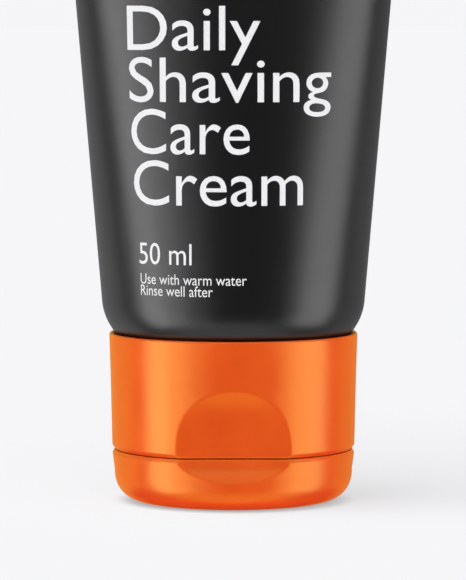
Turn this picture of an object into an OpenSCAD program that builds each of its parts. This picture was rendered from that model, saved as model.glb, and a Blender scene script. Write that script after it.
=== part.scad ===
// Squeeze tube of shaving cream, 50 ml, that stands on its flip-top cap.
// The cap is at the bottom, its thumb recess faces -Y, and its lid is hinged at the back.
// Millimetres, +Z up, origin on the standing face under the tube's axis.

/* [Sleeve] */
// Outer diameter of the round end of the sleeve
sleeve_d = 30; // [28:0.5:32]
// Length of the tapering part, from the round end to the seal
taper_h = 99.5; // [80:0.5:120]
// Height of the flat heat seal
seal_h = 6; // [4:0.5:9]
// Thickness of the sleeve's film
film_t = 0.45; // [0.35:0.05:0.6]
// Height that the cream fills above the standing face
fill_top = 114; // [60:1:116]

/* [Cap] */
// Radius of the cap's rim, the widest part of the cap
rim_r = 14.42; // [14.3:0.01:14.6]
// Radius of the cap base where the lid meets it
base_r = 14.09; // [14:0.01:14.2]
// Height of the closed lid
lid_h = 6.1; // [5.8:0.1:6.3]
// Height of the cap base above the lid
base_h = 13.5; // [13.3:0.1:13.7]
// Thickness of the cap's outer walls
wall_t = 1.15; // [1:0.05:1.2]
// Radius of the dispensing hole
orifice_r = 1.6; // [1.5:0.05:1.8]

/* [Thumb recess] */
// Distance from the tube's axis to the deepest line of the recess
recess_y = 12.48; // [12.2:0.01:12.6]
// Height of the recess above the lid's parting line
recess_up = 7.95; // [6:0.05:9]
// Depth of the recess below the parting line
recess_down = 2.63; // [2:0.01:3]

/* [Hinge] */
// Distance from the tube's axis to the lid's hinge line
hinge_y = 13.45; // [13.35:0.05:13.5]
// Angle of the lid, 0 is closed
lid_angle = 0; // [0:5:130]

/* [Hidden] */
$fn = 96;

// Shoulder: an arc turns the sleeve in towards the neck.
sleeve_r = sleeve_d / 2;
arc_r = 5.9;
arc_x = sleeve_r - arc_r;             // radius at which the arc's centre sits
taper_z = lid_h + base_h + 0.7;       // where the sleeve starts to widen
arc_z = taper_z + 2.9;                // height of the arc's centre
sleeve_z = taper_z - 1;               // lower edge of the sleeve, hidden behind the cap's rim
seal_z = taper_z + taper_h;
top_z = seal_z + seal_h;
cream_top = min(fill_top, seal_z - 5); // the cream always ends below the seal
widen = PI / 2 - 1;                   // a flat sleeve is PI/2 times as wide as a round one
seal_half_t = film_t + 0.03;
edge_square = 9;                      // superellipse power of the flat seal

// Head: shoulder disc and neck, moulded in one.
neck_r = 6.5;
neck_bore_r = 4;
neck_z = lid_h + 2.6;                 // mouth of the neck
shoulder_z = arc_z - arc_r + 0.05;    // underside of the shoulder disc
shoulder_t = 1.4;
bead_z = neck_z + 3;                  // middle of the snap bead
bead_h = 1.4;
bead_out = 0.45;
lug_n = 4;

// Cap.
gap = 0.06;                           // half of the parting gap
part_z = lid_h;                       // height of the parting plane
rim_z = lid_h + base_h;
bevel_h = 0.44;                       // height of the bevels along the parting line
groove_r = 13.82;                     // radius at the bottom of the parting groove
lid_r = 14.06;                        // widest radius of the lid
corner_w = 3.9;                       // width of the lid's rounded corner
corner_h = 3.75;
corner_power = 2.35;
corner_side_r = 13.82;                // radius at the upper end of that corner
floor_t = 1.25;
deck_z = part_z + gap;                // underside of the deck
deck_t = 1.2;
deck_top = deck_z + deck_t;
skirt_in_r = base_r - wall_t;         // inside of the base's outer wall
collar_r = 6.65;                      // inside of the snap collar
collar_t = 1.4;
collar_top = shoulder_z - 0.25;
land_r = 12.45;                       // raised ring that the lid closes over
land_t = 1.2;
land_h = 1.1;
land_back_y = 11.6;                   // the ring stops short of the hinge
plug_r = neck_bore_r - 0.1;           // seal ring inside the neck
plug_t = 0.8;
plug_h = 2.4;
nozzle_r = 3.5;
nozzle_tip_z = 3.6;
pin_root_r = orifice_r - 0.1;
pin_tip_r = orifice_r - 0.35;
pin_top_z = lid_h - 0.7;
rib_n = 8;
rib_t = 0.8;
rib_h = 6;
pad_w = 14.4;                         // flat inner pads that back the recess and the hinge
front_pad_y = recess_y - 1.05;
back_pad_y = 11.9;

// Hinge zone at the back of the cap.
film_w = 4.4;
film_half_h = 0.6;
slot_y = 12.5;                        // inner face of the slots in the walls
strap_x = 3.9;                        // middle of each strap
strap_w = 2;
strap_half_h = 1.9;
strap_y = 12.6;                       // inner face of the straps
strap_t = 0.45;
slot_clear = 0.1;

function arc_point(r, a, inset = 0) = [arc_x - inset + r * cos(a), arc_z - r * sin(a)];
function arc(r, from, to, n, inset = 0) =
    [for (i = [0 : n]) arc_point(r, from + (to - from) * i / n, inset)];
function edge_angle(z) = asin((arc_z - z) / arc_r);

// Half width, half thickness and squareness of the sleeve at height z.
function along(z) = min(1, max(0, (z - taper_z) / taper_h));
function arc_drop(z) = z >= arc_z ? 0 : arc_r - sqrt(arc_r * arc_r - (arc_z - z) * (arc_z - z));
function half_w(z) = sleeve_r * (1 + widen * along(z)) - arc_drop(z);
// Half thickness of an ellipse that keeps the sleeve's girth while its half width is a.
function thin(a) =
    let (m = 8 * a - 6 * sleeve_d, n = 6 * a * a - 6 * sleeve_d * a + sleeve_d * sleeve_d)
    (sqrt(max(0, m * m - 24 * n)) - m) / 12;
function flattening(z) = min(1, max(0, (z - arc_z) / (seal_z - arc_z)));
function half_t(z) =
    max(seal_half_t, thin(sleeve_r * (1 + widen * flattening(z))) - arc_drop(z));
function square_power(z) =
    let (near = max(0, (z - seal_z + 8) / 8))
    2 + (edge_square - 2) * min(1, near * near);

// Heights of the sleeve's rings, which the cream shares so that one fits inside the other.
wall_z = [for (i = [0 : 16]) arc_z + (seal_z - 3 - arc_z) * i / 16];

sides = 44;
function signed_power(v, p) = sign(v) * pow(abs(v), p);
function ring(z, a, b, p) =
    [for (i = [0 : sides - 1])
        let (u = 360 * (i + 0.5) / sides)
        [a * signed_power(cos(u), 2 / p), b * signed_power(sin(u), 2 / p), z]];
function skin(z, inset) = ring(z, half_w(z) - inset, max(0.02, half_t(z) - inset), square_power(z));

// Triangles between the rings from first to last, and the fans that close the two ends.
function band_faces(first, last) =
    [for (r = [first : last - 1], i = [0 : sides - 1], half = [0, 1])
        let (a = r * sides + i, b = r * sides + (i + 1) % sides)
        half == 0 ? [a, a + sides, b] : [b, a + sides, b + sides]];
function end_fan(r, up) =
    [for (i = [1 : sides - 2])
        up ? [r * sides, r * sides + i + 1, r * sides + i]
           : [r * sides, r * sides + i, r * sides + i + 1]];
function flatten(lists) = [for (l = lists) for (p = l) p];

// One sheet of film: up the inside to the weld, over to the outside's lower edge, and up again.
module tube_sleeve() {
    cavity_top = seal_z - 1.2;
    bend_z = [for (i = [0 : 5]) sleeve_z + (arc_z - sleeve_z) * i / 6];
    outer_z = concat(bend_z, wall_z, [seal_z - 1.4, seal_z, top_z]);
    inner_z = concat([cavity_top], [for (i = [16 : -1 : 0]) wall_z[i]], [for (i = [5 : -1 : 0]) bend_z[i]]);
    rings = concat([for (z = inner_z) skin(z, film_t)], [for (z = outer_z) skin(z, 0)]);
    color("#1c1c1d") closed_loft(rings);
}

// Shoulder disc, neck with its snap bead, and lugs that stop the cap from turning.
module tube_head() {
    clear = 0.08;
    step = edge_angle(sleeve_z);
    bare_r = arc_r - 0.05;
    inside_r = arc_r - shoulder_t;
    profile = concat(
        arc(arc_r, 6, step, 5, film_t + clear),
        arc(bare_r, step + 1.5, 90, 6),
        [[neck_r + 0.5, shoulder_z], [neck_r, shoulder_z - 0.5],
         [neck_r, bead_z + bead_h / 2], [neck_r + bead_out, bead_z + 0.1],
         [neck_r, bead_z - bead_h / 2], [neck_r, neck_z + 0.3], [neck_r - 0.3, neck_z],
         [neck_bore_r, neck_z], [neck_bore_r, shoulder_z + 0.6],
         [neck_bore_r + 0.8, shoulder_z + shoulder_t]],
        arc(inside_r, 90, 8, 8));
    color("#141415") {
        rotate_extrude() polygon(profile);
        for (i = [0 : lug_n - 1])
            rotate([0, 0, 45 + i * 360 / lug_n])
                translate([neck_r - 0.1, -0.6, shoulder_z - 1.9])
                    cube([1, 1.2, 1.9]);
    }
}

// The cream fills the nozzle, the neck and the sleeve up to the air space under the seal.
module shaving_cream() {
    free = 0.12;
    function disc(z, r) = ring(z, r, r, 2);
    inside_r = arc_r - shoulder_t - free;
    low = [[pin_top_z + 0.3, orifice_r - free], [deck_top - 0.1, orifice_r - free],
           [deck_top + 0.5, plug_r - plug_t - free], [deck_top + plug_h + free, plug_r - plug_t - free],
           [deck_top + plug_h + 0.6, neck_bore_r - free], [shoulder_z + 0.6, neck_bore_r - free],
           [shoulder_z + shoulder_t + free, neck_bore_r + 0.8 - free]];
    shoulder = [for (a = [88, 60, 35, 12]) arc_point(inside_r, a)];
    body_z = concat([for (z = wall_z) if (z < cream_top - 2) max(z, arc_z + 0.4)], [cream_top]);
    rings = concat([for (p = low) disc(p[0], p[1])],
                   [for (p = shoulder) disc(p[1], p[0])],
                   [for (z = body_z) skin(z, film_t + free + (z < arc_z + 1 ? 0.6 : 0))]);
    color("#f4f3ef") closed_loft(rings);
}

module closed_loft(rings) {
    last = len(rings) - 1;
    polyhedron(points = flatten(rings),
               faces = concat(band_faces(0, last), end_fan(0, false), end_fan(last, true)),
               convexity = 8);
}

// What the thumb presses: a shape constant along X whose depth follows a curve in height.
module thumb_recess() {
    steps = 10;
    front = 20;
    up = [for (i = [0 : steps])
        let (s = i / steps)
        [recess_y + (rim_r - 0.1 - recess_y) * pow(s, 2.5), part_z + recess_up * s]];
    down = [for (i = [steps : -1 : 1])
        let (s = i / steps)
        [recess_y + (corner_side_r - recess_y) * pow(s, 2.1), part_z - recess_down * s]];
    across([concat(down, up, [[front, part_z + recess_up + 3], [front, part_z - recess_down - 3]])],
           16, -1);
}

// Extrudes outlines given as [distance from the axis, height] along X, on the front or back.
module across(outlines, width, side) {
    for (o = outlines)
        rotate([90, 0, 90])
            translate([0, 0, -width / 2])
                linear_extrude(height = width)
                    polygon([for (p = o) [side * p[0], p[1]]]);
}

// Flat inner faces that back the recess and the hinge, kept inside a solid of revolution.
module wall_pads(outline) {
    intersection() {
        for (y = [-20, back_pad_y])
            translate([-pad_w / 2, y, 0]) cube([pad_w, 20 - (y < 0 ? front_pad_y : back_pad_y), 20]);
        rotate_extrude() polygon(outline);
    }
}

// Flat with a small V at the back of the cap, and the slots for the film hinge and its straps.
module hinge_cuts() {
    v = 0.2;
    across([[[hinge_y, part_z - 2.3], [hinge_y, part_z - v], [hinge_y - v, part_z],
             [hinge_y, part_z + v], [hinge_y, part_z + 2.7],
             [hinge_y + 2, part_z + 3.5], [hinge_y + 2, part_z - 3.5]]], 16, 1);
    hinge_slot(0, film_w, film_half_h);
    for (side = [-1, 1])
        hinge_slot(side * strap_x, strap_w + 2 * slot_clear, strap_half_h);
}

module hinge_slot(x, width, half_h) {
    translate([x - width / 2, slot_y, part_z - half_h]) cube([width, 3, 2 * half_h]);
}

// Skirt, deck, snap collar, seal ring and nozzle, as one turned profile.
module cap_base() {
    profile = [
        [groove_r, deck_z], [base_r, deck_z + bevel_h], [rim_r, rim_z - 0.35],
        [rim_r - 0.1, rim_z - 0.11], [rim_r - 0.31, rim_z], [rim_r - 0.47, rim_z - 0.06],
        [rim_r - 0.6, rim_z - 0.26], [rim_r - wall_t - 0.12, rim_z - 1.3],
        [skirt_in_r, deck_top], [collar_r + collar_t, deck_top],
        [collar_r + collar_t, collar_top], [collar_r + 0.3, collar_top],
        [collar_r, collar_top - 0.5], [collar_r, bead_z + bead_h / 2 + 0.1],
        [collar_r + bead_out, bead_z + 0.1], [collar_r, bead_z - bead_h / 2 - 0.1],
        [collar_r, deck_top], [plug_r, deck_top], [plug_r, deck_top + plug_h - 0.3],
        [plug_r - 0.2, deck_top + plug_h], [plug_r - plug_t, deck_top + plug_h],
        [plug_r - plug_t, deck_top + 0.4], [orifice_r, deck_top - 0.3],
        [orifice_r, nozzle_tip_z + 0.2], [orifice_r + 0.2, nozzle_tip_z],
        [nozzle_r - 0.5, nozzle_tip_z], [nozzle_r - 0.15, nozzle_tip_z + 0.18],
        [nozzle_r, nozzle_tip_z + 0.5], [nozzle_r + 0.6, deck_z - 0.7],
        [nozzle_r + 1.1, deck_z - 0.2], [nozzle_r + 1.7, deck_z]];
    pad_top = part_z + recess_up - 1.2;
    color("#ea5c0c")
        difference() {
            union() {
                rotate_extrude() polygon(profile);
                land_ring();
                for (i = [0 : rib_n - 1])
                    rotate([0, 0, 22.5 + i * 360 / rib_n])
                        translate([collar_r + collar_t - 0.3, -rib_t / 2, deck_top - 0.1])
                            cube([skirt_in_r - collar_r - collar_t + 0.6, rib_t, rib_h]);
                wall_pads([[0, deck_z + 0.1], [groove_r - 0.1, deck_z + 0.1],
                           [groove_r - 0.1, pad_top], [0, pad_top]]);
            }
            thumb_recess();
            hinge_cuts();
            for (i = [0 : lug_n - 1])
                rotate([0, 0, 45 + i * 360 / lug_n])
                    translate([collar_r - 0.5, -0.7, shoulder_z - 2])
                        cube([1.4, 1.4, 2]);
        }
}

// Raised land on the deck: round at the sides, straight behind the recess, open at the hinge.
module land_ring() {
    low = deck_z - land_h;
    front_y = -(front_pad_y - 0.25);
    intersection() {
        translate([-20, front_y, 0]) cube([40, land_back_y - front_y, 20]);
        union() {
            rotate_extrude()
                polygon([[land_r - land_t, deck_z + 0.1], [land_r - land_t, low],
                         [land_r - 0.25, low], [land_r, low + 0.25], [land_r, low + 0.5],
                         [land_r - 0.1, deck_z], [land_r - 0.1, deck_z + 0.1]]);
            translate([-5.6, front_y, low]) cube([11.2, land_t, land_h + 0.1]);
        }
    }
}

// Radius of the lid's rounded corner, for s from 0 at the standing face to 1 at its upper end.
function corner(s) =
    corner_side_r - corner_w * (1 - pow(1 - pow(1 - s, corner_power), 1 / corner_power));

module lid() {
    top = part_z - gap;
    in_r = skirt_in_r - 0.15;
    steps = 12;
    outer = [for (i = [0 : steps])
        let (s = 1 - cos(90 * i / steps))
        [corner(s), corner_h * s]];
    shell = concat(
        outer,
        [[lid_r, top - bevel_h], [groove_r, top], [in_r, top], [in_r, 3.2],
         [12.6, 2.2], [12.1, 1.6], [11.2, floor_t], [0, floor_t], [0, 0]]);
    color("#ef6310")
        difference() {
            union() {
                rotate_extrude() polygon(shell);
                translate([0, 0, floor_t - 0.1])
                    cylinder(h = nozzle_tip_z - floor_t + 0.1, r = pin_root_r);
                translate([0, 0, nozzle_tip_z])
                    cylinder(h = pin_top_z - nozzle_tip_z, r1 = pin_root_r, r2 = pin_tip_r);
                rotate_extrude()
                    polygon([[3.9, floor_t - 0.1], [4.6, floor_t - 0.1], [4.6, 2.7], [3.9, 2.7]]);
                wall_pads([[0, floor_t - 0.1], [12.6, floor_t - 0.1], [13.3, 2.4],
                           [13.5, top], [0, top]]);
            }
            thumb_recess();
            hinge_cuts();
        }
}

// Living hinge: a strip that is thinnest along the hinge line.
module hinge_film() {
    steps = 6;
    waist = 0.32;
    foot = 0.75;
    inner = [for (i = [-steps : steps])
        let (s = i / steps)
        [hinge_y - waist - (foot - waist) * s * s, part_z + film_half_h * s]];
    color("#f06a17")
        across([concat([[hinge_y, part_z - film_half_h]], inner, [[hinge_y, part_z + film_half_h]])],
               film_w - 0.04, 1);
}

// Waisted strap beside the film, which snaps the lid open and shut.
module hinge_strap(side) {
    waist = 0.45;
    steps = 6;
    half = strap_w / 2;
    edge = [for (i = [-steps : steps])
        let (s = i / steps)
        [half - waist * (1 - s * s), part_z + strap_half_h * s]];
    back = [for (i = [len(edge) - 1 : -1 : 0]) [-edge[i][0], edge[i][1]]];
    color("#f06a17")
        translate([side * strap_x, strap_y + strap_t, 0])
            rotate([90, 0, 0])
                linear_extrude(height = strap_t)
                    polygon(concat(edge, back));
}

// Turns a piece of the lid about the hinge line.
module opened(angle) {
    translate([0, hinge_y, part_z])
        rotate([angle, 0, 0])
            translate([0, -hinge_y, -part_z])
                children();
}

tube_sleeve();
tube_head();
shaving_cream();
cap_base();
opened(lid_angle) lid();
hinge_film();
hinge_strap(-1);  // hinge_strap_left
hinge_strap(1);  // hinge_strap_right
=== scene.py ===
import math

import bmesh
import bpy
import numpy as np
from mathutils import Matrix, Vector


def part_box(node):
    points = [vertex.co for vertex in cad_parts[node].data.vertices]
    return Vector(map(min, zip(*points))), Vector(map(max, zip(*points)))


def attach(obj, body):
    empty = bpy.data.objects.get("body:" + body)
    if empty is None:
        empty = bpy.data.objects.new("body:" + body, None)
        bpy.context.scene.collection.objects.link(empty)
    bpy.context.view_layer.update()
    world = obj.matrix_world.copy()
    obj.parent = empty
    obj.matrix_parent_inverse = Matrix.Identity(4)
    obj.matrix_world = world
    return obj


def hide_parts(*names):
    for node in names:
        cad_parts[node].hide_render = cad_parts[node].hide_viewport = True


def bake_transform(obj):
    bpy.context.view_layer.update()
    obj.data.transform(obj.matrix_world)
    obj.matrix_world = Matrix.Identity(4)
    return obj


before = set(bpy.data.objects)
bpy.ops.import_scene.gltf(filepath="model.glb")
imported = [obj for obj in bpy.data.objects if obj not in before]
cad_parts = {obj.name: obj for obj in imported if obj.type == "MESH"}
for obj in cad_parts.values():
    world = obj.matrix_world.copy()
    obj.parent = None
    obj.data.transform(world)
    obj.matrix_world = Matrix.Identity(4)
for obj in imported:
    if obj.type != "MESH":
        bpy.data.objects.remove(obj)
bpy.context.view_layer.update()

mm = 0.001

# measures that the CAD pieces already carry, in millimetres

def span(node, axis):
    low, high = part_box(node)
    return low[axis] / mm, high[axis] / mm


sleeveFoot, sleeveTop = span("tube_sleeve", 2)
flatHalf = span("tube_sleeve", 0)[1]
tubeRadius = flatHalf * 2 / math.pi        # a flat sleeve is half its girth wide
deckHeight = span("lid", 2)[1] + 0.12
partHeight = span("lid", 2)[1] + 0.06      # middle of the parting gap
rimHeight = span("cap_base", 2)[1]
rimRadius = span("cap_base", 0)[1]
lidRadius = span("lid", 0)[1]
hingeDepth = span("hinge_film", 1)[1]      # the lid turns about the film's outer face
filmHalf = (span("hinge_film", 2)[1] - span("hinge_film", 2)[0]) / 2
strapHalf = (span("hinge_strap_left", 2)[1] - span("hinge_strap_left", 2)[0]) / 2


def addPiece(name, points, faces, body, stands=()):
    mesh = bpy.data.meshes.new(name)
    mesh.from_pydata([Vector(p) * mm for p in points], [], faces)
    tidy = bmesh.new()
    tidy.from_mesh(mesh)
    bmesh.ops.recalc_face_normals(tidy, faces=tidy.faces)
    tidy.to_mesh(mesh)
    tidy.free()
    mesh.shade_smooth()
    piece = bpy.data.objects.new(name, mesh)
    bpy.context.scene.collection.objects.link(piece)
    if body:
        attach(piece, body)
    if stands:
        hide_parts(*stands)
    return piece


def ease(low, high, value):
    t = min(1, max(0, (value - low) / (high - low)))
    return t * t * (3 - 2 * t)


def softMin(a, b, width):
    # the smaller of two, with the crossing rounded over about that width
    share = min(1, max(0, 0.5 + 0.5 * (b - a) / width))
    return b + (a - b) * share - width * share * (1 - share)


def rolledEdge(distance, radius):
    # how far a face falls back near an edge that is rolled over
    if distance >= radius:
        return 0
    reach = radius - max(0, distance)
    return radius - math.sqrt(radius * radius - reach * reach)


def filletedPath(corners):
    # corners are (radius, height, fillet, zone, longest step); arcs take the place of filleted ones
    path = []
    count = len(corners)
    for i, (r, z, fillet, zone, step) in enumerate(corners):
        here = Vector((r, z))
        before = Vector(corners[i - 1][:2])
        after = Vector(corners[(i + 1) % count][:2])
        if fillet:
            inward = (before - here).normalized()
            outward = (after - here).normalized()
            half = math.acos(max(-1, min(1, inward.dot(outward)))) / 2
            reach = min(fillet / math.tan(half), 0.45 * (before - here).length, 0.45 * (after - here).length)
            radius = reach * math.tan(half)
            centre = here + (inward + outward).normalized() * math.hypot(reach, radius)
            start = here + inward * reach
            finish = here + outward * reach
            turns = 5
            a = start - centre
            b = finish - centre
            angle = a.angle(b)
            for k in range(turns + 1):
                t = k / turns
                spot = (a * math.sin((1 - t) * angle) + b * math.sin(t * angle)) / math.sin(angle)
                path.append((centre + spot, zone))
        else:
            path.append((here, zone))
        if step:
            start = path[-1][0]
            pieces = max(1, math.ceil((after - start).length / step))
            for k in range(1, pieces):
                path.append((start.lerp(after, k / pieces), zone))
    return path


def turnedPiece(name, path, columns, reach, body, stands, closed):
    # turns a path round the axis; reach gives each point its radius at each angle
    points = []
    faces = []
    rows = []
    for spot, zone in path:
        if spot.x < 1e-6:
            rows.append([len(points)] * len(columns))
            points.append((0, 0, spot.y))
            continue
        first = len(points)
        rows.append(list(range(first, first + len(columns))))
        for angle in columns:
            r = reach(spot.x, spot.y, zone, angle)
            points.append((r * math.sin(angle), -r * math.cos(angle), spot.y))
    pairs = list(zip(rows, rows[1:] + rows[:1])) if closed else list(zip(rows, rows[1:]))
    for low, high in pairs:
        for i in range(len(columns)):
            j = (i + 1) % len(columns)
            ring = [low[i], low[j], high[j], high[i]]
            faces.append([v for k, v in enumerate(ring) if v != ring[k - 1]])
    return addPiece(name, points, faces, body, stands)


def angleColumns(fineFront, fineBack, coarse):
    # angles from the front, closer together across the thumb recess and the hinge
    edges = [(-180, -153, fineBack), (-153, -38, coarse), (-38, 38, fineFront), (38, 153, coarse), (153, 180, fineBack)]
    angles = []
    for low, high, step in edges:
        count = round((high - low) / step)
        angles += [math.radians(low + (high - low) * k / count) for k in range(count)]
    return angles


def newMaterial(name, settings):
    # uniform values are set on the shader itself
    material = bpy.data.materials.new(name)
    material.use_nodes = True
    shader = material.node_tree.nodes["Principled BSDF"]
    for socket, value in settings.items():
        shader.inputs[socket].default_value = value
    return material, material.node_tree, shader


def place(tree, kind, x, y, **values):
    node = tree.nodes.new(kind)
    node.location = (x, y)
    for key, value in values.items():
        if key in node.inputs:
            node.inputs[key].default_value = value
        else:
            setattr(node, key, value)
    return node


def grainOf(tree, shader, grain, depth, roughLow, roughHigh, patch):
    # fine moulded grain in the bump, and slow patches in the roughness
    coords = place(tree, "ShaderNodeTexCoord", -1100, 0)
    fine = place(tree, "ShaderNodeTexNoise", -850, -250, Scale=grain, Detail=3.0, Roughness=0.6)
    slow = place(tree, "ShaderNodeTexNoise", -850, 100, Scale=patch, Detail=4.0, Roughness=0.55)
    spread = place(tree, "ShaderNodeMapRange", -550, 100)
    spread.inputs["From Min"].default_value = 0.3
    spread.inputs["From Max"].default_value = 0.7
    spread.inputs["To Min"].default_value = roughLow
    spread.inputs["To Max"].default_value = roughHigh
    bump = place(tree, "ShaderNodeBump", -550, -250, Strength=1.0, Distance=depth)
    tree.links.new(coords.outputs["Object"], fine.inputs["Vector"])
    tree.links.new(coords.outputs["Object"], slow.inputs["Vector"])
    tree.links.new(slow.outputs["Fac"], spread.inputs["Value"])
    tree.links.new(spread.outputs["Result"], shader.inputs["Roughness"])
    tree.links.new(fine.outputs["Fac"], bump.inputs["Height"])
    tree.links.new(bump.outputs["Normal"], shader.inputs["Normal"])
    return coords, slow, fine


def tintBetween(tree, shader, source, dark, light, low=0.35, high=0.65):
    ramp = place(tree, "ShaderNodeValToRGB", -550, 400)
    ramp.color_ramp.elements[0].position = low
    ramp.color_ramp.elements[0].color = (*dark, 1)
    ramp.color_ramp.elements[1].position = high
    ramp.color_ramp.elements[1].color = (*light, 1)
    tree.links.new(source.outputs["Fac"], ramp.inputs["Fac"])
    tree.links.new(ramp.outputs["Color"], shader.inputs["Base Color"])


def paint(piece, material):
    piece.data.materials.clear()
    piece.data.materials.append(material)


camera = {
    "distance": 490.8,     # from the tube's axis
    "height": 60.0,        # of the lens above the floor
    "aimHeight": 24.45,    # where the line of sight crosses the axis
    "aside": -0.04,
    "lens": 262.9,
}

eyeData = bpy.data.cameras.new("tubeCamera")
eyeData.sensor_width = 36
eyeData.lens = camera["lens"]
eyeData.clip_start = 0.01
eyeData.clip_end = 200
eye = bpy.data.objects.new("tubeCamera", eyeData)
eye.location = Vector((camera["aside"], -camera["distance"], camera["height"])) * mm
aim = Vector((camera["aside"], 0, camera["aimHeight"])) * mm
eye.rotation_euler = (aim - eye.location).to_track_quat("-Z", "Y").to_euler()
bpy.context.scene.collection.objects.link(eye)
bpy.context.scene.camera = eye
print("camera set")


film = {
    "dark": (0.0034, 0.0034, 0.0035),
    "light": (0.0047, 0.0047, 0.0049),
    "roughLow": 0.29,
    "roughHigh": 0.34,
    "ior": 1.7,
    "specular": 1.0,
    "grain": 9000,
    "grainDepth": 0.000004,
}


def matteFilm():
    material, tree, shader = newMaterial("matteBlackFilm", {
        "IOR": film["ior"],
        "Specular IOR Level": film["specular"],
    })
    coords, slow, fine = grainOf(
        tree, shader, film["grain"], film["grainDepth"], film["roughLow"], film["roughHigh"], 60)
    tintBetween(tree, shader, fine, film["dark"], film["light"])
    return material


headPlastic = {
    "dark": (0.004, 0.004, 0.0045),
    "light": (0.007, 0.007, 0.0075),
    "roughLow": 0.34,
    "roughHigh": 0.42,
}


def blackMoulding():
    material, tree, shader = newMaterial("blackHeadPlastic", {"Specular IOR Level": 0.4})
    coords, slow, fine = grainOf(
        tree, shader, 5000, 0.000004, headPlastic["roughLow"], headPlastic["roughHigh"], 150)
    tintBetween(tree, shader, slow, headPlastic["dark"], headPlastic["light"])
    return material


orange = {
    "dark": (0.76, 0.040, 0.0005),
    "light": (0.80, 0.044, 0.0007),
    "roughLow": 0.29,
    "roughHigh": 0.34,
    "ior": 1.7,
    "specular": 1.0,
    "glossTint": (1, 1, 0.22, 1),
    "grain": 6000,
    "grainDepth": 0.000004,
}


def orangePlastic(name, lift=1.0):
    material, tree, shader = newMaterial(name, {
        "IOR": orange["ior"],
        "Specular IOR Level": orange["specular"],
        "Specular Tint": orange["glossTint"],
        "Subsurface Weight": 0.08,
        "Subsurface Radius": (0.9, 0.25, 0.06),
        "Subsurface Scale": 0.0012,
    })
    coords, slow, fine = grainOf(
        tree, shader, orange["grain"], orange["grainDepth"], orange["roughLow"], orange["roughHigh"], 200)
    dark = [min(1, c * lift) for c in orange["dark"]]
    light = [min(1, c * lift) for c in orange["light"]]
    tintBetween(tree, shader, slow, dark, light)
    return material


def whiteInk():
    material, tree, shader = newMaterial("whiteScreenInk", {"Specular IOR Level": 0.35})
    coords, slow, fine = grainOf(tree, shader, 7000, 0.000003, 0.5, 0.6, 400)
    tintBetween(tree, shader, fine, (0.78, 0.78, 0.79), (0.86, 0.86, 0.87))
    return material


def softCream():
    material, tree, shader = newMaterial("shavingCream", {
        "Specular IOR Level": 0.4,
        "Subsurface Weight": 0.3,
        "Subsurface Radius": (1.0, 0.9, 0.8),
        "Subsurface Scale": 0.002,
    })
    coords, slow, fine = grainOf(tree, shader, 900, 0.00008, 0.35, 0.5, 120)
    tintBetween(tree, shader, slow, (0.84, 0.84, 0.81), (0.9, 0.9, 0.88))
    return material


# the sleeve is one smooth skin that goes from round to flat
sleeve = {
    "shoulderRadius": 5.9,
    "taperAbove": 1,        # the sleeve starts to widen this far above its foot
    "shoulderAbove": 2.9,   # and its shoulder curve ends this far above that
    "sealHeight": 6,
    "sealHalf": 0.48,       # half the thickness of the seal
    "film": 0.45,
    "squareOver": 13,       # the last stretch below the seal, where the sides close up
    "squareness": 9,
    "columns": 176,
    "rowPitch": 1.3,
    "ridgePitch": 0.75,     # pressed lines across the seal
    "ridgeDepth": 0.05,
}
taperFoot = sleeveFoot + sleeve["taperAbove"]
arcMiddle = taperFoot + sleeve["shoulderAbove"]
sealFoot = sleeveTop - sleeve["sealHeight"]
taperLength = sealFoot - taperFoot
widen = math.pi / 2 - 1


def halfWidth(z):
    grown = tubeRadius * (1 + widen * min(1, max(0, (z - taperFoot) / taperLength)))
    return grown - shoulderDrop(z)


def shoulderDrop(z):
    if z >= arcMiddle:
        return 0
    r = sleeve["shoulderRadius"]
    return r - math.sqrt(r * r - (arcMiddle - z) ** 2)


def halfThickness(z):
    # an ellipse with the sleeve's girth, by Ramanujan's rule solved for its short half
    share = min(1, max(0, (z - arcMiddle) / (sealFoot - arcMiddle)))
    a = tubeRadius * (1 + widen * share)
    d = 2 * tubeRadius
    m = 8 * a - 6 * d
    n = 6 * a * a - 6 * d * a + d * d
    b = (math.sqrt(max(0, m * m - 24 * n)) - m) / 12
    pressed = sleeve["sealHalf"]
    if z > sealFoot + 0.3:
        phase = (z - sealFoot) / sleeve["ridgePitch"] * 2 * math.pi
        pressed -= sleeve["ridgeDepth"] * (0.5 - 0.5 * math.cos(phase))
    closing = ease(sealFoot - 9, sealFoot, z)
    blunt = math.hypot(b - shoulderDrop(z), pressed * closing) if b > 0 else pressed
    return max(pressed, blunt)


def quarterCurve(z, inset=0):
    # the section's front right quarter, with its length along the skin
    a = halfWidth(z) - inset
    b = halfThickness(z) - inset
    square = 2 + (sleeve["squareness"] - 2) * ease(sealFoot - sleeve["squareOver"], sealFoot, z) ** 2
    u = np.linspace(0, math.pi / 2, 241)
    u = np.concatenate([u, np.pi / 2 - np.geomspace(1e-7, 6e-3, 40), np.geomspace(1e-7, 6e-3, 40)])
    u = np.unique(np.clip(u, 0, math.pi / 2))
    x = a * np.sin(u) ** (2 / square)
    y = -b * np.clip(np.cos(u), 0, 1) ** (2 / square)
    x[0] = 0
    y[-1] = 0
    along = np.concatenate([[0], np.cumsum(np.hypot(np.diff(x), np.diff(y)))])
    return x, y, along


def sleeveRing(z, inset=0):
    x, y, along = quarterCurve(z, inset)
    quarter = sleeve["columns"] // 4
    at = np.linspace(0, along[-1], quarter + 1)
    qx = np.interp(at, along, x)
    qy = np.interp(at, along, y)
    right = list(zip(qx, qy)) + [(px, -py) for px, py in list(zip(qx, qy))[-2::-1]]
    left = [(-px, py) for px, py in right[-2:0:-1]]
    return [(px, py, z) for px, py in right + left]


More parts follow.
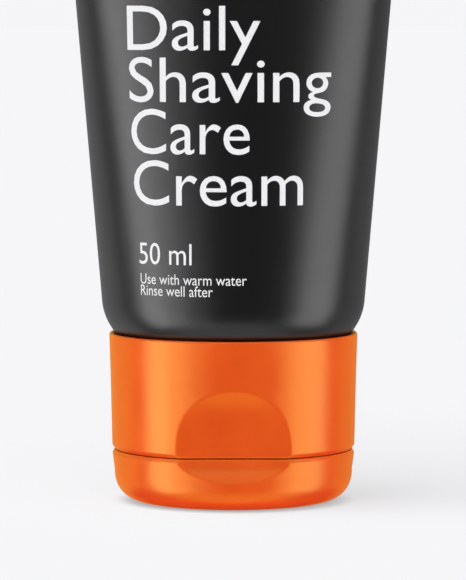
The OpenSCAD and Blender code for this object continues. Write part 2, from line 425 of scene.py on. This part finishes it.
def makeSleeve():
    steps = 14
    low = math.asin((arcMiddle - sleeveFoot) / sleeve["shoulderRadius"])
    bend = [arcMiddle - sleeve["shoulderRadius"] * math.sin(low * (1 - k / steps)) for k in range(steps)]
    rows = round((sealFoot - arcMiddle) / sleeve["rowPitch"])
    wall = [arcMiddle + (sealFoot - arcMiddle) * k / rows for k in range(rows)]
    pressedRows = round(sleeve["sealHeight"] / sleeve["ridgePitch"] * 8)
    seal = [sealFoot + sleeve["sealHeight"] * k / pressedRows for k in range(pressedRows + 1)]
    inner = [sleeveRing(z, sleeve["film"]) for z in (arcMiddle + 2, arcMiddle, arcMiddle - 1.5, sleeveFoot + 0.05)]
    rings = inner + [sleeveRing(z) for z in bend + wall + seal]
    count = sleeve["columns"]
    points = [p for ring in rings for p in ring]
    faces = []
    for r in range(len(rings) - 1):
        for i in range(count):
            j = (i + 1) % count
            faces.append([r * count + i, r * count + j, (r + 1) * count + j, (r + 1) * count + i])
    top = (len(rings) - 1) * count
    half = count // 2
    for i in range(half // 2):       # the narrow top edge, front to back on either side
        right = [i, i + 1, half - i - 1, half - i]
        left = [half + i, half + i + 1, count - i - 1, (count - i) % count]
        faces += [[top + k for k in dict.fromkeys(side)] for side in (right, left)]
    return addPiece("tubeSleeve", points, faces, "tube", ["tube_sleeve"])


sleevePiece = makeSleeve()
paint(sleevePiece, matteFilm())
print("sleeve done")


# plain printed words, wrapped on the sleeve's front
words = {
    "lines": [
        # words, letter height, left end along the skin, height of the baseline, width, thickening
        ("Daily", 5.35, -12.6, 52.45, 1.08, 0.0),
        ("Shaving", 5.35, -12.45, 46.6, 1.12, 0.0),
        ("Care", 5.35, -12.3, 40.75, 1.0, 0.0),
        ("Cream", 5.35, -12.1, 34.95, 1.03, 0.0),
        ("50 ml", 2.55, -11.55, 28.25, 0.9, 0.0),
        ("Use with warm water", 1.25, -11.45, 26.0, 0.86, 0.0),
        ("Rinse well after", 1.25, -11.45, 24.7, 0.86, 0.0),
    ],
    "lift": 0.02,
    "sliceWidth": 0.4,
}


def skinSpot(s, z, lift):
    x, y, along = quarterCurve(z)
    px = float(np.interp(abs(s), along, x))
    py = float(np.interp(abs(s), along, y))
    nx = px / halfWidth(z) ** 2
    ny = py / halfThickness(z) ** 2
    size = math.hypot(nx, ny)
    return (math.copysign(px + lift * nx / size, s), py + lift * ny / size, z)


def printLine(index, text, height, left, base, width, thicken):
    curve = bpy.data.curves.new(f"print{index}", "FONT")
    curve.body = text
    curve.size = 1
    curve.offset = thicken
    curve.resolution_u = 5
    flat = bpy.data.objects.new(f"print{index}", curve)
    bpy.context.scene.collection.objects.link(flat)
    bpy.context.view_layer.update()
    mesh = bpy.data.meshes.new_from_object(flat.evaluated_get(bpy.context.evaluated_depsgraph_get()))
    bpy.data.objects.remove(flat)
    capital = 0.729                        # height of a capital letter at size 1
    scale = height / capital
    start = min(v.co.x for v in mesh.vertices)
    shape = bmesh.new()
    shape.from_mesh(mesh)
    for v in shape.verts:
        v.co = Vector((left + (v.co.x - start) * scale * width, base + v.co.y * scale, 0))
    bmesh.ops.remove_doubles(shape, verts=shape.verts, dist=0.0005)
    low = min(v.co.x for v in shape.verts)
    high = max(v.co.x for v in shape.verts)
    cut = low + words["sliceWidth"]
    while cut < high:
        everything = shape.verts[:] + shape.edges[:] + shape.faces[:]
        bmesh.ops.bisect_plane(shape, geom=everything, plane_co=(cut, 0, 0), plane_no=(1, 0, 0))
        cut += words["sliceWidth"]
    for v in shape.verts:
        v.co = Vector(skinSpot(v.co.x, v.co.y, words["lift"])) * mm
    for face in shape.faces:
        if face.normal.y > 0:
            face.normal_flip()
    shape.normal_update()
    for face in shape.faces:
        if face.normal.y > 0:
            face.normal_flip()
    shape.to_mesh(mesh)
    shape.free()
    piece = bpy.data.objects.new(f"printedLine{index + 1}", mesh)
    bpy.context.scene.collection.objects.link(piece)
    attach(piece, "tube")
    return piece


inkPaint = whiteInk()
for index, line in enumerate(words["lines"]):
    paint(printLine(index, *line), inkPaint)
print("printed lines done")


# thumb recess and hinge zone, shared by the cap base and the lid
zone = {
    "recessDepth": 12.48,    # from the axis to the deepest line of the recess
    "recessUp": 7.95,
    "recessDown": 2.63,
    "edge": 0.1,             # rounding where the recess leaves the round wall
    "facetDown": 2.3,        # flat at the hinge, below and above the parting line
    "facetUp": 2.7,
    "facetNotch": 0.2,
    "slotDepth": 12.5,
    "slotEdge": 0.05,
    "filmSlot": 2.2,
    "strapAt": 3.9,
    "strapSlot": 1.1,
    "cornerSide": 13.82,     # upper end of the lid's rounded corner
    "cornerWidth": 3.9,
    "cornerHeight": 3.75,
    "cornerPower": 2.35,
}


def recessLimit(z):
    up = z - partHeight
    if up >= 0:
        s = up / zone["recessUp"]
        limit = zone["recessDepth"] + (rimRadius - 0.1 - zone["recessDepth"]) * s ** 2.5
    else:
        s = -up / zone["recessDown"]
        limit = zone["recessDepth"] + (zone["cornerSide"] - zone["recessDepth"]) * s ** 2.1
    return limit - rolledEdge(abs(up) - 0.06, 0.12)


def hingeLimit(z, x):
    up = z - partHeight
    limit = hingeDepth
    if up > zone["facetUp"]:
        limit += (up - zone["facetUp"]) * 2.5
    if up < -zone["facetDown"]:
        limit += (-up - zone["facetDown"]) * 1.7
    limit -= max(0, zone["facetNotch"] - abs(up))
    e = zone["slotEdge"]
    inFilm = ease(zone["filmSlot"] + e, zone["filmSlot"] - e, abs(x)) * ease(filmHalf + e, filmHalf - e, abs(up))
    nearStrap = abs(abs(x) - zone["strapAt"])
    inStrap = ease(zone["strapSlot"] + e, zone["strapSlot"] - e, nearStrap) * ease(
        strapHalf + e, strapHalf - e, abs(up))
    return limit + (zone["slotDepth"] - limit) * max(inFilm, inStrap)


def clampFront(r, angle, limit, width):
    c = math.cos(angle)
    return softMin(r, limit / c, width) if c > 0.2 else r


def clampBack(r, angle, limit, width):
    c = -math.cos(angle)
    return softMin(r, limit / c, width) if c > 0.2 else r


def capReach(r, z, area, angle):
    if area == "wall":
        r = clampFront(r, angle, recessLimit(z), zone["edge"])
        x = hingeDepth * math.sin(angle)
        return clampBack(r, angle, hingeLimit(z, x), 0.06)
    if area == "land":
        inset = landThickness if r < landRadius - 0.6 else 0
        r = clampFront(r, angle, landFront - inset, 0.1)
        return clampBack(r, angle, landBack - inset * 0.3, 0.05)
    if area == "inside":
        r = clampFront(r, angle, frontPad, 0.3)
        return clampBack(r, angle, backPad, 0.3)
    return r


landRadius = 12.45
landThickness = 1.2
landFront = zone["recessDepth"] - 1.3
landBack = 11.6
frontPad = zone["recessDepth"] - 1.05
backPad = 11.9
capColumns = angleColumns(0.4, 0.45, 2.5)


capBase = {
    "lowRadius": 14.09,
    "grooveRadius": 13.82,
    "bevel": 0.44,
    "wall": 1.15,
    "deck": 1.2,
    "orifice": 1.6,
    "nozzle": 3.5,
    "nozzleTip": 3.6,
    "collar": 6.65,
    "collarWall": 1.4,
    "collarTop": 17.3,
    "landHeight": 1.1,
}


def makeCapBase():
    c = capBase
    deckTop = deckHeight + c["deck"]
    inner = c["lowRadius"] - c["wall"]
    tip = c["nozzleTip"]
    padTop = partHeight + zone["recessUp"] - 1.2      # the wall is thickened behind the recess up to here
    corners = [
        (c["grooveRadius"], deckHeight, 0.05, "wall", 0),
        (c["lowRadius"], deckHeight + c["bevel"], 0.12, "wall", 0.12),
        (c["lowRadius"] + 0.19, rimHeight - 4.6, 0, "wall", 0.6),
        (rimRadius, rimHeight - 0.22, 0.12, "rim", 0),
        (rimRadius - 0.1, rimHeight - 0.05, 0.06, "rim", 0),
        (rimRadius - 0.3, rimHeight, 0.1, "rim", 0),
        (rimRadius - 0.6, rimHeight - 0.2, 0.15, "rim", 0),
        (rimRadius - c["wall"] - 0.12, rimHeight - 1.3, 0.3, "rim", 0),
        (inner, padTop + 0.2, 0, "rim", 0),
        (inner, padTop, 0, "inside", 0.8),
        (inner, deckTop, 0, "inside", 0),
        (c["collar"] + c["collarWall"], deckTop, 0.3, "rim", 0),
        (c["collar"] + c["collarWall"], c["collarTop"], 0.2, "rim", 0),
        (c["collar"], c["collarTop"], 0.3, "rim", 0),
        (c["collar"], deckTop, 0, "rim", 0),
        (c["orifice"], deckTop - 0.3, 0.2, "rim", 0),
        (c["orifice"], tip, 0.15, "rim", 0),
        (c["nozzle"], tip, 0.3, "rim", 0),
        (c["nozzle"] + 0.2, deckHeight - 1, 0.4, "rim", 0),
        (c["nozzle"] + 1.2, deckHeight, 1.2, "rim", 0.8),
        (landRadius - landThickness, deckHeight, 0.12, "land", 0),
        (landRadius - landThickness, deckHeight - c["landHeight"], 0.1, "land", 0),
        (landRadius, deckHeight - c["landHeight"], 0.25, "land", 0),
        (landRadius - 0.05, deckHeight, 0.08, "land", 0),
    ]
    return turnedPiece("capBase", filletedPath(corners), capColumns, capReach,
                       "tube", ["cap_base"], True)


capBasePiece = makeCapBase()
paint(capBasePiece, orangePlastic("orangeCapPlastic"))
print("cap base done")


lidShape = {
    "grooveRadius": 13.82,
    "bevel": 0.44,
    "inside": 12.79,
    "floor": 1.25,
    "pin": 1.5,
    "pinTip": 1.25,
    "ringOut": 4.6,
    "ringIn": 3.9,
    "ringTop": 2.7,
}


def makeLid():
    d = lidShape
    top = partHeight - 0.06
    cornerHigh = zone["cornerHeight"]
    steps = 26
    path = [(Vector((0, 0)), "plain"), (Vector((3, 0)), "plain"), (Vector((6, 0)), "plain"),
            (Vector((9, 0)), "plain")]
    for k in range(steps + 1):
        s = min(1, 1 - math.cos(math.pi / 2 * k / steps))
        bow = (1 - (1 - s) ** zone["cornerPower"]) ** (1 / zone["cornerPower"])
        r = zone["cornerSide"] - zone["cornerWidth"] * (1 - bow)
        path.append((Vector((r, cornerHigh * s)), "wall"))
    corners = [
        (zone["cornerSide"], cornerHigh, 0, "wall", 0.1),
        (lidRadius, top - d["bevel"], 0.1, "wall", 0),
        (d["grooveRadius"], top, 0.05, "wall", 0),
        (d["inside"], top, 0.1, "inside", 0.5),
        (d["inside"], 3.2, 0, "inside", 0),
        (d["inside"] - 0.1, d["floor"], 1.3, "inside", 0),
        (d["ringOut"], d["floor"], 0.2, "plain", 0),
        (d["ringOut"], d["ringTop"], 0.12, "plain", 0),
        (d["ringIn"], d["ringTop"], 0.12, "plain", 0),
        (d["ringIn"], d["floor"], 0.2, "plain", 0),
        (d["pin"], d["floor"], 0.3, "plain", 0),
        (d["pin"], capBase["nozzleTip"], 0.2, "plain", 0),
        (d["pinTip"], top - 0.64, 0.25, "plain", 0),
        (0, top - 0.64, 0, "plain", 0),
    ]
    path += filletedPath(corners)[1:]
    return turnedPiece("lidShell", path, capColumns, capReach, "lid", ["lid"], False)


lidPiece = makeLid()
paint(lidPiece, orangePlastic("orangeLidPlastic"))
print("lid done")


# the film hinge and its two straps, between cap and lid
hinge = {
    "filmWaist": 0.32,
    "filmFoot": 0.75,
    "strapWidth": 2,
    "strapWaist": 0.45,
    "strapInner": 12.6,
    "strapThickness": 0.45,
    "rows": 26,
}


def bendingStrip(name, half, section, node):
    # section gives the left, right, inner and outer faces at each height from -1 to 1
    points = []
    faces = []
    rows = hinge["rows"]
    round8 = [(1, 0.6), (0.9, 0.9), (-0.9, 0.9), (-1, 0.6), (-1, -0.6), (-0.9, -0.9), (0.9, -0.9), (1, -0.6)]
    for k in range(rows + 1):
        s = 2 * k / rows - 1
        left, right, inner, outer = section(s)
        for cx, cy in round8:
            points.append(((left + right) / 2 + cx * (right - left) / 2,
                           (inner + outer) / 2 + cy / 0.9 * (outer - inner) / 2, partHeight + half * s))
    sides = len(round8)
    for r in range(rows):
        for i in range(sides):
            j = (i + 1) % sides
            faces.append([r * sides + i, r * sides + j, (r + 1) * sides + j, (r + 1) * sides + i])
    faces.append(list(range(sides)))
    faces.append([rows * sides + i for i in range(sides)])
    piece = addPiece(name, points, faces, None, [node])
    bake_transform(piece)
    return piece


def filmSection(s):
    inner = hingeDepth - hinge["filmWaist"] - (hinge["filmFoot"] - hinge["filmWaist"]) * s * s
    return -zone["filmSlot"] + 0.02, zone["filmSlot"] - 0.02, inner, hingeDepth


def strapSection(side):
    def section(s):
        half = hinge["strapWidth"] / 2 - hinge["strapWaist"] * (1 - s * s)
        middle = side * zone["strapAt"]
        inner = hinge["strapInner"]
        return middle - half, middle + half, inner, inner + hinge["strapThickness"]
    return section


hingePaint = orangePlastic("orangeHingePlastic", 1.04)
paint(bendingStrip("hingeFilm", filmHalf, filmSection, "hinge_film"), hingePaint)
paint(bendingStrip("hingeStrapLeft", strapHalf, strapSection(-1), "hinge_strap_left"), hingePaint)
paint(bendingStrip("hingeStrapRight", strapHalf, strapSection(1), "hinge_strap_right"), hingePaint)
print("hinge done")


# these pieces keep their CAD shape
paint(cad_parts["tube_head"], blackMoulding())
paint(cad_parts["shaving_cream"], softCream())
print("head and cream painted")


studio = {
    "floorSize": 60,
    "floorColour": (0.07, 0.07, 0.071),
    "floorGlow": 0.690,      # an even light of its own keeps orange off the floor
    "paintedShadowGlow": 0.3,         # painted contact shadow: the floor's glow dims to this where the lid meets the floor
    "footRadius": 9.2,
    "glowRadius": 14.6,
    "wallGlow": 0.915,
    "wallReach": 5.0,        # in metres, from the tube to the far wall
    "around": 0.015,         # brightness of the room
    "above": 0.12,
    "below": 0.04,
}


def makeFloor():
    half = studio["floorSize"] / 2
    mesh = bpy.data.meshes.new("paleFloor")
    mesh.from_pydata([(-half, -half, 0), (half, -half, 0), (half, half, 0), (-half, half, 0)], [], [(0, 1, 2, 3)])
    floor = bpy.data.objects.new("paleFloor", mesh)
    bpy.context.scene.collection.objects.link(floor)
    material, tree, shader = newMaterial("paleFloorPaint", {
        "Roughness": 0.9,
        "Specular IOR Level": 0.0,
        "Emission Color": (1, 1, 1.016, 1),
    })
    coords = place(tree, "ShaderNodeTexCoord", -1000, 0)
    cloudy = place(tree, "ShaderNodeTexNoise", -750, 0, Scale=3.0, Detail=2.0)
    tree.links.new(coords.outputs["Object"], cloudy.inputs["Vector"])
    base = studio["floorColour"]
    tintBetween(tree, shader, cloudy, [c * 0.995 for c in base], base)
    away = place(tree, "ShaderNodeVectorMath", -750, -300, operation="LENGTH")
    # the floor's glow falls towards the tube's foot, a painted contact shadow on the floor
    glow = place(tree, "ShaderNodeMapRange", -500, -300, interpolation_type="SMOOTHSTEP")
    glow.inputs["From Min"].default_value = studio["footRadius"] * mm
    glow.inputs["From Max"].default_value = studio["glowRadius"] * mm
    glow.inputs["To Min"].default_value = studio["paintedShadowGlow"]
    glow.inputs["To Max"].default_value = studio["floorGlow"]
    tree.links.new(coords.outputs["Object"], away.inputs[0])
    tree.links.new(away.outputs["Value"], glow.inputs["Value"])
    tree.links.new(glow.outputs["Result"], shader.inputs["Emission Strength"])
    paint(floor, material)
    floor.visible_glossy = False      # the room's lower half stands for it in reflections
    return floor


def makeBackdrop():
    # far wall round the floor, seen directly but giving no light
    reach = studio["wallReach"]
    points = []
    for k in range(64):
        angle = 2 * math.pi * k / 64
        points += [(reach * math.cos(angle), reach * math.sin(angle), z) for z in (-0.01, reach)]
    faces = [(2 * k, (2 * k + 2) % 128, (2 * k + 3) % 128, 2 * k + 1) for k in range(64)]
    mesh = bpy.data.meshes.new("paleBackdrop")
    mesh.from_pydata(points, [], faces)
    wall = bpy.data.objects.new("paleBackdrop", mesh)
    bpy.context.scene.collection.objects.link(wall)
    material, tree, shader = newMaterial("paleBackdropPaint", {
        "Base Color": (0, 0, 0, 1),
        "Specular IOR Level": 0.0,
        "Emission Color": (1, 1, 1.016, 1),
    })
    coords = place(tree, "ShaderNodeTexCoord", -1000, 0)
    cloudy = place(tree, "ShaderNodeTexNoise", -750, 0, Scale=0.1, Detail=1.0)
    level = place(tree, "ShaderNodeMapRange", -500, 0)
    level.inputs["To Min"].default_value = studio["wallGlow"] - 0.004
    level.inputs["To Max"].default_value = studio["wallGlow"] + 0.004
    tree.links.new(coords.outputs["Object"], cloudy.inputs["Vector"])
    tree.links.new(cloudy.outputs["Fac"], level.inputs["Value"])
    tree.links.new(level.outputs["Result"], shader.inputs["Emission Strength"])
    paint(wall, material)
    wall.visible_glossy = False
    wall.visible_diffuse = False
    wall.visible_shadow = False
    return wall


def makeWorld():
    # a dim room, paler overhead and underfoot
    world = bpy.data.worlds.new("studioWorld")
    bpy.context.scene.world = world
    world.use_nodes = True
    tree = world.node_tree
    background = tree.nodes["Background"]
    background.inputs["Color"].default_value = (1, 1, 1, 1)
    coords = place(tree, "ShaderNodeTexCoord", -1000, 0)
    parts = place(tree, "ShaderNodeSeparateXYZ", -800, 0)
    tree.links.new(coords.outputs["Generated"], parts.inputs["Vector"])

    def ramp(low, high, value, y):
        node = place(tree, "ShaderNodeMapRange", -550, y, interpolation_type="SMOOTHSTEP")
        node.inputs["From Min"].default_value = low
        node.inputs["From Max"].default_value = high
        node.inputs["To Min"].default_value = studio["around"]
        node.inputs["To Max"].default_value = value
        tree.links.new(parts.outputs["Z"], node.inputs["Value"])
        return node

    strongest = place(tree, "ShaderNodeMath", -250, 0, operation="MAXIMUM")
    tree.links.new(ramp(0.35, 0.8, studio["above"], 100).outputs["Result"], strongest.inputs[0])
    tree.links.new(ramp(-0.3, -0.75, studio["below"], -200).outputs["Result"], strongest.inputs[1])
    tree.links.new(strongest.outputs["Value"], background.inputs["Strength"])


# upright light boxes: compass angles from the front in degrees, left is negative, brightness,
# lower edge in millimetres, and what they light
white = (1, 1, 1)
warm = (1, 0.85, 0.2)
boxes = {
    "leftBox": (-88, -62, 1.38, -470, "all", white),
    "leftSpill": (-62, -42, 0.75, -470, "all", white),
    "leftFade": (-42, -22, 0.24, -470, "all", white),
    "rightBox": (60, 96, 1.03, -430, "all", white),
    "rightSpill": (50, 60, 0.39, -430, "all", white),
    "filmFarLeft": (-160, -112, 0.33, -600, "film", white),
    "filmNearLeft": (-112, -98, 0.07, -600, "film", white),
    "filmBack": (160, 200, 0.31, -600, "film", white),
    "filmFarRight": (112, 160, 0.19, -600, "film", white),
    "filmNearRight": (98, 112, 0.04, -600, "film", white),
    "capLeft": (-88, -62, 1.38, -470, "cap", white),
    "capLeftSpill": (-62, -42, 0.81, -470, "cap", white),
    "capLeftFade": (-42, -24, 0.27, -470, "cap", white),
    "capFarLeft": (-180, -106, 0.7, -300, "cap", warm),
    "capRight": (60, 96, 1.0, -470, "cap", white),
    "capRightSpill": (44, 60, 0.97, -470, "cap", white),
    "capFarRight": (113, 180, 0.55, -300, "cap", warm),
}
boxAway = 600
boxHigh = 420

# level light panels: height, nearest and farthest y, half width, brightness, and what they light
panels = {
    "capAbove": (600, -600, 420, 700, 0.6, "cap", white),
    "capUnder": (-600, -560, -40, 700, 0.7, "cap", (1, 0.9, 0.35)),
    "filmUnder": (-600, -1000, -40, 500, 0.24, "film", white),
}


def glossLamp(name, sizeX, sizeY, bright, tint, spot, turn, receivers):
    # shows as gloss only; the fill lamps below give the plain light
    data = bpy.data.lights.new(name, "AREA")
    data.shape = "RECTANGLE"
    data.size = sizeX * mm
    data.size_y = sizeY * mm
    data.color = tint
    data.energy = bright * math.pi * data.size * data.size_y
    lamp = bpy.data.objects.new(name, data)
    lamp.location = Vector(spot) * mm
    lamp.rotation_euler = turn
    bpy.context.scene.collection.objects.link(lamp)
    lamp.visible_diffuse = False
    lamp.light_linking.receiver_collection = lit[receivers]
    lamp.light_linking.blocker_collection = lit["all"]


def makeBox(name, start, stop, bright, low, receivers, tint):
    turn = math.radians(start + stop) / 2
    width = 2 * boxAway * math.tan(math.radians(min(stop - start, 80)) / 2)
    spot = (math.sin(turn) * boxAway, -math.cos(turn) * boxAway, (low + boxHigh) / 2)
    glossLamp(name, width, boxHigh - low, bright, tint, spot, (math.pi / 2, 0, turn), receivers)


def makePanel(name, height, near, far, half, bright, receivers, tint):
    turn = (0, 0, 0) if height > 0 else (math.pi, 0, 0)
    glossLamp(name, 2 * half, far - near, bright, tint, (0, (near + far) / 2, height), turn, receivers)


# plain light without gloss: compass angle, height angle, softness in degrees, strength
fills = {
    "leftFill": {"turn": -84, "height": 12, "soft": 90, "strength": 2.0, "lights": "all"},
    "rightFill": {"turn": 82, "height": 12, "soft": 90, "strength": 1.75, "lights": "all"},
    "frontFill": {"turn": 0, "height": 12, "soft": 90, "strength": 1.7, "lights": "all"},
    "underFill": {"turn": 0, "height": -80, "soft": 90, "strength": 1.9, "lights": "all"},
    "floorLight": {"turn": -50, "height": 66, "soft": 56, "strength": 11.1, "lights": "floor"},
}


def makeFill(name, s):
    data = bpy.data.lights.new(name, "SUN")
    data.energy = s["strength"]
    data.angle = math.radians(s["soft"])
    fill = bpy.data.objects.new(name, data)
    fill.rotation_euler = (math.radians(90 - s["height"]), 0, math.radians(s["turn"]))
    fill.location = (0, 0, 1)
    bpy.context.scene.collection.objects.link(fill)
    fill.visible_glossy = False
    fill.light_linking.receiver_collection = lit[s["lights"]]
    fill.light_linking.blocker_collection = lit["all"]


def collect(name, things):
    group = bpy.data.collections.new(name)
    for thing in things:
        group.objects.link(thing)
    return group


floorPiece = makeFloor()
wallPiece = makeBackdrop()
makeWorld()
pieces = [t for t in bpy.context.scene.objects if t.type == "MESH" and t not in (floorPiece, wallPiece)]
orangePieces = [t for t in pieces if t.name.startswith(("capBase", "lidShell", "hinge"))]
lit = {
    "all": collect("tubePieces", pieces),
    "cap": collect("capPieces", orangePieces),
    "film": collect("filmPieces", [t for t in pieces if t not in orangePieces]),
    "floor": collect("floorPieces", [floorPiece]),
}
for name, values in boxes.items():
    makeBox(name, *values)
for name, values in panels.items():
    makePanel(name, *values)
for name, values in fills.items():
    makeFill(name, values)
bpy.context.scene.view_settings.view_transform = "Standard"
print("studio done")
